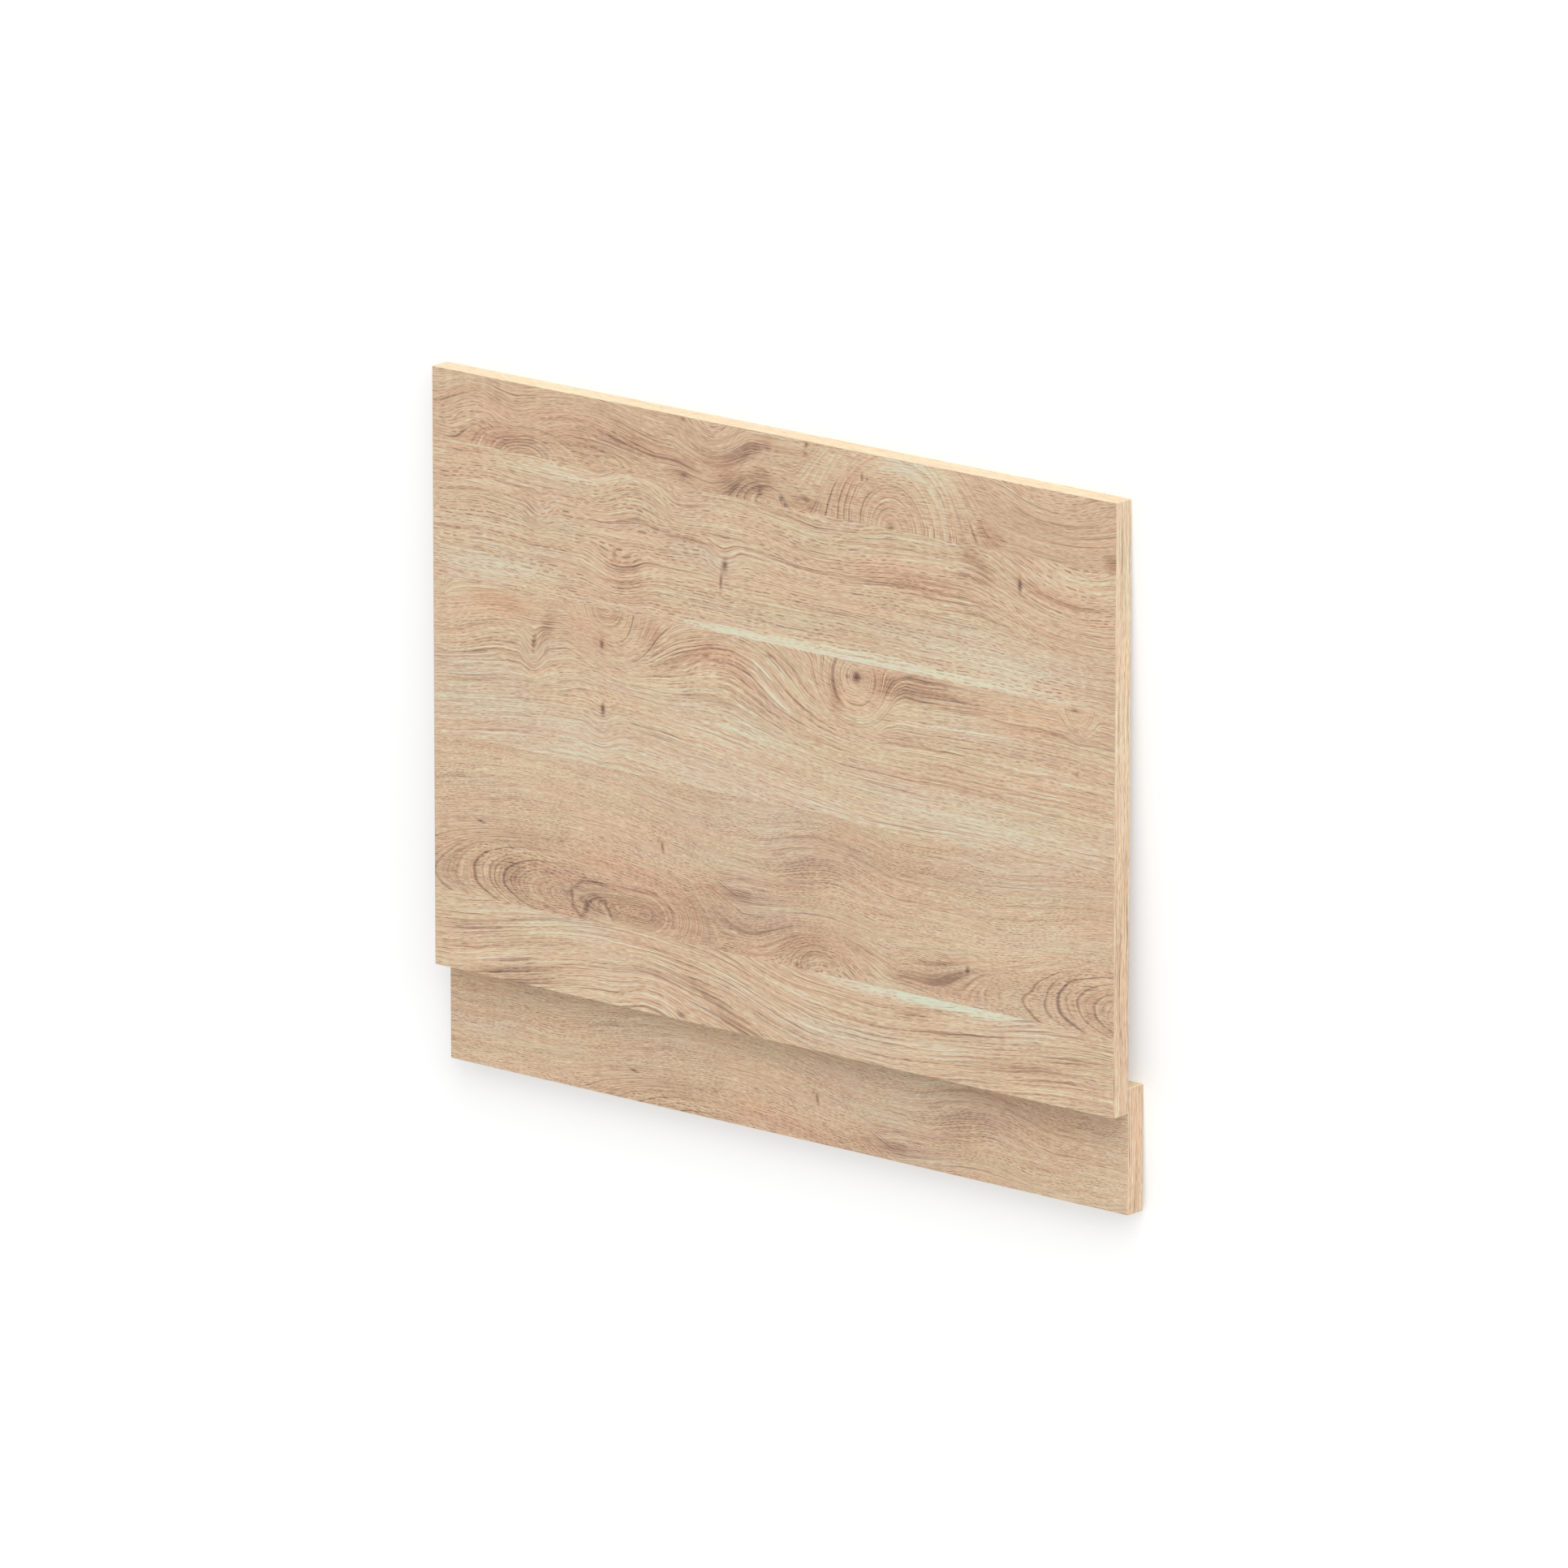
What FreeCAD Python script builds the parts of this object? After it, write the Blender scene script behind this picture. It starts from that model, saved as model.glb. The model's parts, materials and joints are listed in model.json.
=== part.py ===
import FreeCAD, Part
import os
import Sketcher

# Bath end panel: a front board with a plinth board set back behind its lower edge.
#
# The boards are drawn in the plane of their faces: X along their length, Y up the panel
# as it stands at a bath, Z out of the face, with the floor edge of the plinth at Y = 0
# and the back of the plinth at Z = 0. The pair is then laid on its back, as it rests on
# a level floor: the plinth props up the lower end, so both boards lean by a small angle
# and touch the floor along the plinth's upper edge and the panel's top edge.

# Driving sizes in millimetres, each with what it measures.
SIZES = {
    "board_width": (680, "both boards, end to end"),
    "panel_height": (480, "panel, lower edge to top edge"),
    "panel_thickness": (18, "panel, back to face"),
    "plinth_height": (100, "plinth, floor edge to upper edge"),
    "plinth_thickness": (18, "plinth, back to face"),
    "plinth_overlap": (20, "how far the plinth reaches up behind the panel"),
    "arris_radius": (0.5, "round along every edge of a board"),
}

# Expressions that several features share.
PANEL_FOOT = "(sizes.plinth_height - sizes.plinth_overlap)"
WHOLE_HEIGHT = f"({PANEL_FOOT} + sizes.panel_height)"
WHOLE_DEPTH = "(sizes.plinth_thickness + sizes.panel_thickness)"
LEAN = "atan(sizes.plinth_thickness / (sizes.panel_height - sizes.plinth_overlap))"


def make_sheet(doc):
    """The sheet of driving sizes, one row each: name, value, meaning."""
    sheet = doc.addObject("Spreadsheet::Sheet", "sizes")
    for row, (name, (value, meaning)) in enumerate(SIZES.items(), start=1):
        sheet.set(f"A{row}", name)
        sheet.set(f"B{row}", str(value))
        sheet.setAlias(f"B{row}", name)
        sheet.set(f"C{row}", meaning)
    doc.recompute()


def face_plane(body):
    """The body's own XY plane, which lies parallel to the boards' faces."""
    return next(plane for plane in body.Origin.OriginFeatures if plane.Role == "XY_Plane")


def board_outline(body, height, foot=None):
    """A rectangle as long as the boards, centred on X = 0, with its foot on or above Y = 0."""
    sketch = body.newObject("Sketcher::SketchObject", f"{body.Name}_outline")
    sketch.AttachmentSupport = [(face_plane(body), "")]
    sketch.MapMode = "FlatFace"
    corners = [
        FreeCAD.Vector(-1, 1, 0),
        FreeCAD.Vector(1, 1, 0),
        FreeCAD.Vector(1, 2, 0),
        FreeCAD.Vector(-1, 2, 0),
    ]
    for start, end in zip(corners, corners[1:] + corners[:1]):
        sketch.addGeometry(Part.LineSegment(start, end))
    lower, right, upper, left = range(4)
    first, last = 1, 2
    across, upright = -1, -2
    for side, following in ((lower, right), (right, upper), (upper, left), (left, lower)):
        sketch.addConstraint(Sketcher.Constraint("Coincident", side, last, following, first))
    # Symmetry about the upright axis also keeps the lower side level.
    sketch.addConstraint(Sketcher.Constraint("Symmetric", lower, first, lower, last, upright))
    sketch.addConstraint(Sketcher.Constraint("Horizontal", upper))
    for side in (right, left):
        sketch.addConstraint(Sketcher.Constraint("Vertical", side))
    size_line(sketch, Sketcher.Constraint("DistanceX", lower, first, lower, last, 2), "sizes.board_width")
    size_line(sketch, Sketcher.Constraint("DistanceY", right, first, right, last, 1), height)
    if foot is None:
        sketch.addConstraint(Sketcher.Constraint("PointOnObject", lower, first, across))
    else:
        size_line(sketch, Sketcher.Constraint("DistanceY", across, first, lower, first, 1), foot)
    return sketch


def size_line(sketch, constraint, expression):
    """Add a dimension to a sketch and tie it to the sheet."""
    index = sketch.addConstraint(constraint)
    sketch.setExpression(f"Constraints[{index}]", expression)


def thicken(body, sketch, thickness):
    """Give the outline its board thickness, towards the face."""
    pad = body.newObject("PartDesign::Pad", f"{body.Name}_board")
    pad.Profile = sketch
    pad.setExpression("Length", thickness)
    return pad


def ease_edges(doc, body, board):
    """Round every edge of the board by the arris radius."""
    doc.recompute()
    arris = body.newObject("PartDesign::Fillet", f"{body.Name}_arris")
    arris.Base = (board, [f"Edge{number}" for number in range(1, len(board.Shape.Edges) + 1)])
    arris.setExpression("Radius", "sizes.arris_radius")
    body.Tip = arris


def lay_on_floor(body):
    """Lean the board onto its back and set the pair's lowest point at Z = 0, centred on Y = 0."""
    body.Placement = FreeCAD.Placement(FreeCAD.Vector(), FreeCAD.Rotation(FreeCAD.Vector(-1, 0, 0), 1))
    middle = f"({WHOLE_HEIGHT} * cos({LEAN}) + {WHOLE_DEPTH} * sin({LEAN})) / 2"
    lift = (
        f"sizes.plinth_height * sin({LEAN})"
        f" + sizes.arris_radius * (1 - sin({LEAN}) - cos({LEAN}))"
    )
    body.setExpression("Placement.Rotation.Angle", LEAN)
    body.setExpression("Placement.Base.y", f"-({middle})")
    body.setExpression("Placement.Base.z", lift)


def make_panel(doc):
    """The front board: it starts above the floor and stands one plinth thickness forward."""
    body = doc.addObject("PartDesign::Body", "panel")
    outline = board_outline(body, "sizes.panel_height", PANEL_FOOT)
    outline.setExpression("AttachmentOffset.Base.z", "sizes.plinth_thickness")
    board = thicken(body, outline, "sizes.panel_thickness")
    ease_edges(doc, body, board)
    lay_on_floor(body)
    return body


def make_plinth(doc):
    """The recessed board: it reaches down to the floor, with its face on the panel's back."""
    body = doc.addObject("PartDesign::Body", "plinth")
    outline = board_outline(body, "sizes.plinth_height")
    board = thicken(body, outline, "sizes.plinth_thickness")
    ease_edges(doc, body, board)
    lay_on_floor(body)
    return body


def check(doc, bodies):
    """Stop if any feature failed or any board is not one valid solid."""
    for item in doc.Objects:
        if "Invalid" in item.State or "Error" in item.State:
            raise RuntimeError(f"{item.Label} failed: {item.State}")
    for body in bodies:
        if body.Shape.isNull() or not body.Shape.isValid() or len(body.Shape.Solids) != 1:
            raise RuntimeError(f"{body.Label} is not one valid solid")


def main():
    doc = FreeCAD.newDocument("bath_panel")
    make_sheet(doc)
    bodies = [make_panel(doc), make_plinth(doc)]
    doc.recompute()
    check(doc, bodies)
    os.makedirs("parts", exist_ok=True)
    for body in bodies:
        body.Shape.exportStep(f"parts/{body.Label}.step")


main()
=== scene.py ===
"""Bath end panel: the look of its two boards, faced with a planked oak print, on a white floor."""
import json
import math
from dataclasses import dataclass

import bpy
from mathutils import Matrix, Vector

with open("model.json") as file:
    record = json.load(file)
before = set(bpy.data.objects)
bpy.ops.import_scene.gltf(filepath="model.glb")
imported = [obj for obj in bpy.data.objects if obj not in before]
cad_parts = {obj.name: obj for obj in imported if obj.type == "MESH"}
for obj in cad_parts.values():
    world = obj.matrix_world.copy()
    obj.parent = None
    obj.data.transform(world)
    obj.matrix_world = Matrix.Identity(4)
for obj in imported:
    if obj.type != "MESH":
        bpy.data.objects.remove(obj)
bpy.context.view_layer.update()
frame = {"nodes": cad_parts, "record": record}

MM = 0.001

# The boards' own directions, read from the mounts: along their length, up the panel, out of its face.
mounts = {mount["name"]: mount for mount in frame["record"]["mounts"]}


def mount_place(name):
    return Vector(mounts[name]["pos_m"])


UP = Vector(mounts["rim_edge"]["axis"])
OUT = -Vector(mounts["plinth_back"]["axis"])
RIGHT = UP.cross(OUT)
TO_BOARD = Matrix((RIGHT, UP, OUT))

# Board millimetres start at the middle of the plinth's floor edge, on its back.
FLOOR_EDGE = mount_place("floor_edge")
ORIGIN = FLOOR_EDGE + OUT * (mount_place("plinth_back") - FLOOR_EDGE).dot(OUT)


def board_mm(point):
    """A point of the frame in board millimetres: along, up, out."""
    return TO_BOARD @ (point - ORIGIN) / MM


def from_board_mm(along, up, out):
    return ORIGIN + (RIGHT * along + UP * up + OUT * out) * MM


HALF_LENGTH = board_mm(mount_place("right_end")).x
PANEL_TOP = board_mm(mount_place("rim_edge")).y
BOARD_THICKNESS = 2 * board_mm(FLOOR_EDGE).z
WHOLE_DEPTH = board_mm(mount_place("rim_edge")).z + BOARD_THICKNESS / 2

# Where the boards' middle and the floor edge lie in the print, from its top left corner. The plinth is
# cut from another stretch of the same print.
PANEL_PRINT = (HALF_LENGTH, PANEL_TOP)
PLINTH_PRINT = (HALF_LENGTH - 140.4, 380.4)
PRINT_PLACE = "print_place"


# Arithmetic on node sockets

def add_node(tree, kind, **settings):
    node = tree.nodes.new(kind)
    for name, value in settings.items():
        setattr(node, name, value)
    return node


def feed(socket, value):
    """Link a signal to a socket, or set a plain value on it."""
    if isinstance(value, Signal):
        socket.id_data.links.new(value.socket, socket)
    else:
        socket.default_value = value


class Signal:
    """A number or a vector in a node tree. Arithmetic on it adds nodes to that tree."""

    def __init__(self, socket):
        self.socket = socket

    @property
    def tree(self):
        return self.socket.id_data

    def math(self, operation, *others, clamp=False):
        node = add_node(self.tree, "ShaderNodeMath", operation=operation, use_clamp=clamp)
        for socket, value in zip(node.inputs, (self, *others)):
            feed(socket, value)
        return Signal(node.outputs["Value"])

    def vector(self, operation, *others):
        node = add_node(self.tree, "ShaderNodeVectorMath", operation=operation)
        for socket, value in zip(node.inputs, (self, *others)):
            feed(socket, value)
        is_number = operation in ("DOT_PRODUCT", "LENGTH")
        return Signal(node.outputs["Value" if is_number else "Vector"])

    def __add__(self, other):
        return self.math("ADD", other)

    def __sub__(self, other):
        return self.math("SUBTRACT", other)

    def __mul__(self, other):
        return self.math("MULTIPLY", other)

    def times_plus(self, factor, extra):
        return self.math("MULTIPLY_ADD", factor, extra)

    def share_of_one(self, slope, start=0):
        """A straight slope of the number, cut off below 0 and above 1."""
        return self.math("MULTIPLY_ADD", slope, start, clamp=True)

    def above(self, limit):
        """1 where the number is over the limit, else 0."""
        return self.math("GREATER_THAN", limit)

    def rest_of_one(self):
        """1 minus the number, and never less than 0."""
        return self.times_plus(-1, 1).math("MAXIMUM", 0)

    def parts(self):
        node = add_node(self.tree, "ShaderNodeSeparateXYZ")
        feed(node.inputs["Vector"], self)
        return [Signal(output) for output in node.outputs]


def combine(along, across):
    """A flat place from two numbers."""
    node = add_node(along.tree, "ShaderNodeCombineXYZ")
    feed(node.inputs["X"], along)
    feed(node.inputs["Y"], across)
    return Signal(node.outputs["Vector"])


def choose(switch, when_off, when_on):
    """One number where the switch is 0, another where it is 1."""
    node = add_node(switch.tree, "ShaderNodeMix", data_type="FLOAT")
    feed(node.inputs["Factor"], switch)
    feed(node.inputs["A"], when_off)
    feed(node.inputs["B"], when_on)
    return Signal(node.outputs["Result"])


def colour_ramp(number, stops, interpolation="LINEAR"):
    """The colour that belongs to a number, from pairs of a position and a colour."""
    node = add_node(number.tree, "ShaderNodeValToRGB")
    ramp = node.color_ramp
    ramp.interpolation = interpolation
    made_with_ramp = len(ramp.elements)
    for index, (position, colour) in enumerate(stops):
        stop = ramp.elements[index] if index < made_with_ramp else ramp.elements.new(position)
        stop.position = position
        stop.color = (*colour, 1)
    feed(node.inputs["Fac"], number)
    return Signal(node.outputs["Color"])


@dataclass
class Spots:
    """Soft noise in spots that measure along x across millimetres, with finer detail inside them.

    start: where the noise begins, so that no two patterns are alike
    """

    along: float
    across: float
    detail: float = 0
    start: float = 0


def noise(place, spots):
    """Soft noise around zero."""
    in_spots = place.vector(
        "MULTIPLY_ADD", (1 / spots.along, 1 / spots.across, 0), (spots.start, spots.start, 0)
    )
    node = add_node(place.tree, "ShaderNodeTexNoise", noise_dimensions="2D")
    feed(node.inputs["Vector"], in_spots)
    node.inputs["Scale"].default_value = 1
    node.inputs["Detail"].default_value = spots.detail
    return Signal(node.outputs[0]) - 0.5


def random_number(number):
    """A random number between 0 and 1 for each whole number."""
    node = add_node(number.tree, "ShaderNodeTexWhiteNoise", noise_dimensions="1D")
    feed(node.inputs["W"], number)
    return Signal(node.outputs["Value"])


def random_numbers(place):
    """Three random numbers between 0 and 1 for each whole place."""
    node = add_node(place.tree, "ShaderNodeTexWhiteNoise", noise_dimensions="2D")
    feed(node.inputs["Vector"], place)
    return Signal(node.outputs["Color"]).parts()


def sum_of(terms):
    """The sum of numbers, each times its weight."""
    total = None
    for number, weight in terms:
        total = number * weight if total is None else number.times_plus(weight, total)
    return total


def grouped(place, name, terms_at):
    """The sum of the weighted numbers that a function finds at a place, in a node group."""
    tree = bpy.data.node_groups.new(name, "ShaderNodeTree")
    tree.interface.new_socket("Place", in_out="INPUT", socket_type="NodeSocketVector")
    tree.interface.new_socket("Sum", in_out="OUTPUT", socket_type="NodeSocketFloat")
    inside = Signal(add_node(tree, "NodeGroupInput").outputs["Place"])
    feed(add_node(tree, "NodeGroupOutput").inputs["Sum"], sum_of(terms_at(inside)))
    node = add_node(place.tree, "ShaderNodeGroup", node_tree=tree)
    feed(node.inputs["Place"], place)
    return Signal(node.outputs["Sum"])


# The oak print

# How far the heart of a swirl spreads, where the rings close round its centre: from 1 upwards.
SWIRL_HEART = 1.4

# How steeply a swirl's cone of rings rises to its tip: above 1 it has a soft foot.
CONE_POWER = 1.5

# A placed line has faded out at this many times the width it is given, and is this many times as strong.
LINE_FADE = 0.75
LINE_DEPTH = 1.15


@dataclass
class Strip:
    """A strip of print with its own grain. Lengths are millimetres, brightness runs from 0 to 1.

    foot: how far down the print the strip ends, on the face
    waves: along, down, reach along, reach down, rise; fibres and rings both rise over them
    swirls: along, down, reach left, reach right, reach down, rise; the share of the reach where the
        rings close round the centre; added ring depth
    lines: along, down, reach along, reach across, change of brightness; they follow the rings
    knots: along, down, half length, half height, darkness, tilt in degrees
    stains: along, down, reach along, reach down, change of brightness, tilt in degrees
    tints: along, down, reach along, reach down, warmth
    """

    brightness: float
    ring_step: float
    ring_depth: float
    pore_pitch: float
    pore_length: float
    pore_depth: float
    foot: float = 0
    waves: tuple = ()
    swirls: tuple = ()
    lines: tuple = ()
    knots: tuple = ()
    stains: tuple = ()
    tints: tuple = ()

    def ring_level(self, along, down):
        """Where a place of the strip lies across its growth rings."""
        level = down
        for centre_along, centre_down, reach_along, reach_down, rise in self.waves:
            distance = math.hypot((along - centre_along) / reach_along, (down - centre_down) / reach_down)
            level += rise * max(0, 1 - distance**2) ** 2
        for centre_along, centre_down, reach_left, reach_right, reach_down, rise, share, _ in self.swirls:
            beside = max((centre_along - along) / reach_left, (along - centre_along) / reach_right)
            distance = math.hypot(beside, (down - centre_down) / reach_down)
            level += rise * max(0, 1 - distance) ** CONE_POWER
            level += (centre_down - down) * min(1, SWIRL_HEART * max(0, 1 - (distance / share) ** 2))
        return level

    @property
    def lines_on_rings(self):
        """The lines, placed by their level across the rings."""
        return [
            (along, self.ring_level(along, down), reach, width * LINE_FADE, change * LINE_DEPTH)
            for along, down, reach, width, change in self.lines
        ]


# The planks of the face, from the top down.
FACE_STRIPS = [
    Strip(
        foot=55.7, brightness=0.729, ring_step=6, ring_depth=0.08,
        pore_pitch=2.3, pore_length=9, pore_depth=0.17,
        waves=((45, 18, 45, 40, 12), (150, 15, 90, 45, 14), (283, 15, 42, 50, -16), (622, 18, 80, 50, -16)),
        swirls=(
            (92, 58, 78, 78, 36, 30, 0.9, -0.01), (182, 50, 55, 55, 18, 16, 0.75, 0),
            (340, 54, 60, 44, 34, 26, 0.8, -0.02), (461, 57, 104, 112, 120, 95, 0.95, 0.015),
        ),
        lines=(
            (20, 21, 32, 2, -0.12), (85, 10, 50, 2, -0.11), (60, 17, 60, 1.6, 0.06),
            (40, 36, 30, 1.6, 0.06), (108, 34, 44, 2, -0.13), (150, 20, 46, 2, -0.08),
            (200, 17, 60, 2.4, -0.08), (180, 28, 18, 2, -0.05), (26, 50, 16, 2.5, -0.13),
            (135, 45, 10, 2, 0.06), (228, 45, 8, 2, 0.05), (190, 40, 40, 2, -0.04), (270, 23, 18, 2, -0.08),
            (305, 50, 10, 4, -0.14), (357, 34, 12, 2.5, -0.09), (372, 22, 14, 2, -0.09),
            (400, 42, 14, 2, -0.16), (410, 42, 13, 1.6, -0.13), (416, 42, 12, 1.4, -0.13),
            (421, 42, 12, 1.4, -0.11), (432, 44, 12, 1.8, -0.12), (448, 40, 12, 1.6, -0.10),
            (453, 42, 14, 1.4, -0.10), (541, 46, 8, 2.5, -0.14), (528, 40, 14, 2, -0.08),
            (520, 44, 12, 1.6, -0.07), (553, 44, 6, 4, -0.07), (592, 22, 18, 2, -0.09),
            (622, 26, 55, 2.5, -0.11), (640, 40, 45, 2, -0.06),
        ),
        knots=(
            (255, 46, 9, 4, 0.2, 0), (331, 47, 5, 8, 0.22, 20), (352, 49, 4, 5, 0.16, 0),
            (356, 54, 8, 4, 0.2, 20), (377, 46, 9, 4, 0.26, 10), (377, 3, 4, 5, 0.3, 0),
            (376, 10, 5, 3, 0.26, 0), (432, 20, 2.5, 6, 0.28, 0), (437, 20, 2, 4, 0.2, 0),
            (254, 2, 4, 4, 0.2, 0), (461, 55, 8, 6, 0.2, 0),
        ),
        stains=(
            (318, 18, 42, 9, -0.10, -28), (305, 46, 30, 18, -0.08, 0), (332, 40, 22, 20, -0.07, 0),
            (80, 46, 66, 16, -0.05, 0), (165, 36, 70, 16, -0.05, -4), (285, 30, 30, 12, -0.05, 0),
            (215, 30, 60, 20, -0.035, 0), (255, 42, 22, 16, -0.05, 0), (375, 50, 34, 9, -0.06, 0),
            (478, 4, 80, 24, 0.06, 0), (400, 14, 45, 22, 0.03, -30), (505, 30, 34, 30, 0.03, 0),
            (555, 48, 22, 16, -0.05, 0), (678, 48, 14, 12, -0.09, 0), (20, 8, 60, 12, 0.02, 0),
            (620, 8, 60, 12, 0.02, 0),
        ),
        tints=(
            (340, 28, 700, 80, 0.012), (475, 2, 30, 16, -0.05), (60, 40, 80, 30, 0.01),
            (310, 15, 60, 20, -0.01),
        ),
    ),
    Strip(
        foot=165.2, brightness=0.755, ring_step=4, ring_depth=0.085,
        pore_pitch=2.4, pore_length=10, pore_depth=0.26,
        waves=(
            (206, 66, 44, 40, 10), (188, 138, 40, 36, -9), (294, 106, 22, 22, -6), (400, 80, 90, 60, -7),
            (650, 84, 120, 70, -30), (110, 100, 18, 24, -6), (60, 100, 60, 50, 4), (252, 72, 30, 24, -4),
        ),
        lines=(
            (35, 92, 35, 3, -0.08), (20, 84, 40, 2, -0.07), (85, 82, 26, 4, -0.06), (215, 92, 50, 3, -0.08),
            (262, 97, 36, 4, -0.10), (260, 70, 30, 4, -0.08), (60, 130, 30, 2, -0.10),
            (15, 126, 22, 2.5, -0.08), (115, 126, 40, 2, -0.07), (195, 128, 24, 1.4, -0.12),
            (190, 133, 28, 1, -0.06), (200, 139, 30, 1.2, -0.09), (200, 145, 28, 1.3, -0.10),
            (185, 151, 30, 1, -0.07), (215, 122, 24, 1.2, -0.07), (205, 66, 40, 1.2, -0.07),
            (210, 73, 40, 1, 0.06), (200, 80, 40, 1, -0.05), (535, 80, 26, 1.4, -0.10),
            (548, 88, 26, 1.4, -0.09), (556, 104, 30, 1.4, -0.09), (530, 98, 30, 1.4, -0.07),
            (566, 112, 30, 1.2, -0.06), (390, 100, 60, 4, -0.05), (470, 97, 70, 5, -0.06),
            (545, 108, 46, 5, -0.08), (535, 82, 22, 4, -0.07), (400, 131, 50, 2.5, -0.08),
            (635, 87, 60, 3, -0.10), (600, 82, 40, 3, -0.06), (640, 123, 40, 3, -0.06),
            (480, 69, 60, 2, -0.06), (560, 138, 40, 2, -0.06), (430, 161, 60, 1.5, -0.09),
            (600, 161, 50, 1.5, -0.06), (445, 103, 22, 1.5, 0.08), (150, 66, 40, 1.5, 0.06),
            (300, 81, 24, 1.5, 0.06), (60, 117, 60, 4, 0.03),
        ),
        knots=(
            (296, 111, 6, 9, 0.42, 10), (292, 124, 3, 14, 0.32, 4), (185, 119, 4, 9, 0.15, 0),
            (184, 83, 4, 4, 0.14, 0), (587, 79, 4, 13, 0.32, 0), (413, 105, 10, 4, 0.12, 15),
            (190, 92, 14, 3, 0.10, 0),
        ),
        stains=(
            (110, 64, 100, 10, 0.04, 0), (98, 88, 22, 14, -0.04, 0), (540, 66, 22, 14, -0.08, 35),
            (555, 78, 14, 12, -0.06, 40), (630, 68, 60, 10, 0.03, 0), (60, 148, 90, 16, 0.03, 0),
            (195, 134, 30, 22, -0.04, 0), (560, 145, 130, 20, 0.03, 0), (420, 162, 200, 9, 0.095, 0),
            (300, 163, 70, 7, 0.05, 0), (590, 162, 110, 6, 0.04, 0), (480, 96, 120, 14, -0.03, 0),
        ),
        tints=(
            (45, 66, 70, 30, 0.02), (470, 92, 110, 30, 0.025), (610, 92, 100, 34, 0.02),
            (145, 70, 44, 20, -0.015), (60, 148, 80, 24, -0.025), (540, 142, 220, 30, -0.025),
            (270, 110, 50, 16, -0.025), (138, 108, 30, 12, -0.02),
        ),
    ),
    Strip(
        foot=291.4, brightness=0.755, ring_step=4.5, ring_depth=0.10,
        pore_pitch=2.4, pore_length=8, pore_depth=0.15,
        waves=(
            (65, 196, 60, 34, 8), (103, 212, 16, 30, -9), (145, 205, 60, 50, 8), (308, 150, 130, 100, 38),
            (172, 264, 22, 30, -7), (600, 195, 120, 40, 5), (180, 290, 270, 400, 24),
        ),
        swirls=(
            (175, 163, 50, 72, 68, -48, 0.8, -0.05), (427, 177, 66, 50, 62, -48, 0.8, -0.02),
            (645, 168, 24, 24, 30, -26, 0.8, -0.02), (-3, 168, 24, 24, 30, -26, 0.8, -0.02),
        ),
        lines=(
            (201, 178, 26, 1.8, -0.16), (209, 181, 24, 1.2, 0.05), (222, 188, 34, 2.4, -0.20),
            (262, 184, 40, 1.6, -0.08), (350, 192, 30, 1.4, -0.09), (357, 197, 30, 1.2, 0.06),
            (366, 205, 34, 1.4, -0.11), (373, 201, 30, 1.2, 0.06), (380, 213, 36, 1.6, -0.10),
            (388, 208, 30, 1.4, 0.07), (396, 224, 36, 1.6, -0.11), (404, 230, 34, 1.2, 0.06),
            (206, 200, 30, 1.6, -0.08), (190, 192, 24, 1.4, -0.07), (300, 200, 40, 1.4, 0.06),
            (280, 216, 50, 1.4, -0.07), (235, 208, 50, 1.6, -0.10), (288, 178, 34, 1.6, -0.09),
            (262, 208, 60, 1.2, -0.05), (230, 226, 50, 1.2, -0.05), (330, 186, 16, 2, 0.11),
            (348, 208, 24, 1.8, 0.10), (335, 215, 24, 1.6, -0.10), (320, 224, 50, 1.4, 0.07),
            (362, 180, 22, 1.6, -0.11), (385, 180, 26, 1.2, -0.13), (393, 184, 24, 1.0, -0.08),
            (404, 184, 22, 3.4, -0.15), (412, 184, 16, 1.2, -0.10), (418, 181, 10, 1.0, -0.08),
            (428, 200, 24, 1.4, -0.09), (430, 208, 30, 1.4, 0.07), (430, 214, 40, 1.6, -0.08),
            (400, 236, 46, 2.2, -0.10), (415, 248, 40, 1.2, -0.07), (375, 226, 40, 1.2, 0.06),
            (445, 249, 60, 1.8, -0.10), (455, 188, 26, 1.6, -0.08), (500, 203, 60, 1.4, 0.08),
            (600, 198, 55, 1.4, -0.10), (565, 206, 40, 1.4, -0.08), (470, 214, 60, 1.4, -0.07),
            (520, 225, 80, 1.2, -0.06), (560, 240, 60, 1.4, -0.08), (550, 249, 120, 2, -0.07),
            (620, 253, 50, 1.4, -0.08), (660, 243, 40, 2, -0.07), (660, 180, 12, 1.4, 0.09),
            (640, 193, 26, 1.4, -0.08), (14, 178, 12, 1.4, 0.09), (40, 200, 50, 1.4, -0.08),
            (50, 218, 60, 1.4, -0.09), (50, 228, 60, 1.4, 0.05), (40, 243, 60, 2.4, -0.07),
            (90, 251, 70, 1.4, -0.05), (70, 275, 80, 1.4, -0.05), (120, 222, 50, 1.4, 0.05),
            (60, 180, 50, 1.6, -0.05), (560, 268, 100, 1.4, -0.04), (500, 281, 70, 1.4, -0.05),
            (470, 206, 46, 1.6, 0.10), (545, 201, 60, 1.6, 0.11), (500, 211, 70, 1.4, -0.10),
            (470, 218, 50, 1.4, -0.09), (570, 214, 80, 1.4, -0.08), (620, 206, 60, 1.4, -0.09),
            (600, 222, 90, 1.4, 0.06), (520, 233, 80, 1.4, -0.08), (640, 226, 60, 1.4, 0.07),
            (520, 246, 90, 1.6, -0.07), (60, 214, 60, 1.6, 0.10), (50, 219, 60, 1.4, -0.09),
            (40, 224, 60, 1.4, 0.07), (30, 234, 50, 1.4, -0.07), (60, 209, 50, 1.4, -0.07),
            (125, 205, 40, 1.4, -0.09), (115, 217, 40, 1.4, 0.07), (110, 230, 60, 1.4, 0.05),
            (90, 262, 80, 1.4, -0.05), (60, 283, 60, 1.4, 0.05),
        ),
        knots=(
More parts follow.
